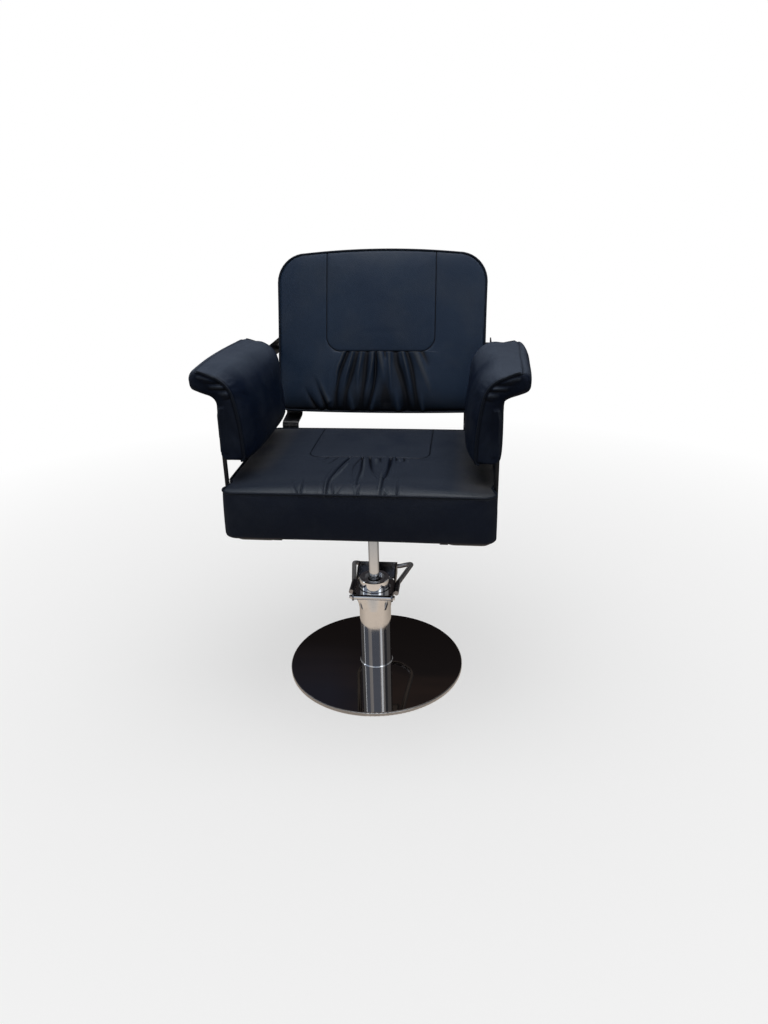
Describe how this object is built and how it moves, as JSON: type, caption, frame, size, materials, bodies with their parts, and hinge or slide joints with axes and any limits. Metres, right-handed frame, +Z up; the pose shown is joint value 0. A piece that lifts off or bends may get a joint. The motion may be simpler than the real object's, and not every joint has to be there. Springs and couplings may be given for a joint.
{
  "type": "threading chair",
  "caption": "Salon threading chair: padded seat, back and gull-wing arm pads on a hydraulic pump with a foot pedal loop and a round flat base.",
  "frame": {"origin": "on the floor, under the middle of the pump column and round base", "axes": "+Z up; the chair faces -Y; +X is the sitter's left"},
  "size_m": [0.665, 0.6103, 0.9744],
  "materials": {
    "leatherette": "satin",
    "chrome": "polished",
    "black_mirror": "polished",
    "base_steel": "satin",
    "black_steel": "gloss",
    "dark_chrome": "polished",
    "zinc_steel": "satin",
    "pump_steel": "satin",
    "cast_foot": "matte",
    "spring_steel": "satin",
    "bronze": "satin",
    "rubber": "matte",
    "plywood": "matte",
    "dust_cloth": "matte"
  },
  "bodies": {
    "base": {"floor_pad": "rubber", "base_plate": "base_steel", "base_cover": "black_mirror", "base_bolts": "zinc_steel", "pump_foot": "cast_foot", "column_tube": "chrome", "column_trim_ring": "chrome", "pump_cylinder": "pump_steel", "pump_head": "chrome", "ram_packing": "rubber", "gland_nut": "zinc_steel", "wiper_seal": "rubber", "pivot_bracket": "chrome", "pivot_pin": "zinc_steel", "pivot_nut": "zinc_steel", "plunger_barrel": "pump_steel", "plunger_spring": "spring_steel"},
    "ram": {"piston_rod": "chrome", "piston": "pump_steel", "piston_seal": "rubber", "piston_nut": "zinc_steel"},
    "pedal": {"pedal_yoke": "dark_chrome", "pedal_loop": "dark_chrome"},
    "plunger_body": {"plunger": "pump_steel"},
    "seat": {"seat_hub": "black_steel", "swivel_bush": "bronze", "seat_plate": "black_steel", "seat_bolts": "zinc_steel", "seat_tee_nuts": "zinc_steel", "seat_board": "plywood", "seat_dust_cover": "dust_cloth", "seat_cushion": "leatherette", "back_board": "plywood", "back_cushion": "leatherette", "back_cover": "leatherette", "back_screws": "zinc_steel", "back_strap_left": "black_steel", "back_strap_right": "black_steel", "strap_screws": "zinc_steel", "arm_frame_left": "black_steel", "arm_frame_right": "black_steel", "arm_plate_left": "black_steel", "arm_plate_right": "black_steel", "arm_board_left": "plywood", "arm_board_right": "plywood", "arm_screws": "zinc_steel", "arm_pad_left": "leatherette", "arm_pad_right": "leatherette", "link_spacers": "black_steel", "link_bolts": "zinc_steel", "arm_rail_left": "black_steel", "arm_rail_right": "black_steel", "rail_screws": "zinc_steel"}
  },
  "joints": [
    {"name": "seat_lift", "type": "slide", "parent": "base", "child": "ram", "axis": [0, 0, 1], "range_m": [-0.13, 0.02]},
    {"name": "seat_swivel", "type": "hinge", "parent": "ram", "child": "seat", "pos_m": [0, 0, 0.431], "axis": [0, 0, 1], "continuous": true},
    {"name": "pedal_hinge", "type": "hinge", "parent": "base", "child": "pedal", "pos_m": [0, -0.045, 0.216], "axis": [-1, 0, 0], "range_deg": [0, 15], "stiffness_Nm_per_rad": 6, "springref_deg": -28.65},
    {"name": "plunger_slide", "type": "slide", "parent": "base", "child": "plunger_body", "axis": [0, 0, -1], "range_m": [0, 0.029], "deforming": ["plunger_spring"]}
  ],
  "couplings": [
    {"joint": "plunger_slide", "follows": "pedal_hinge", "m_per_rad": 0.109}
  ]
}
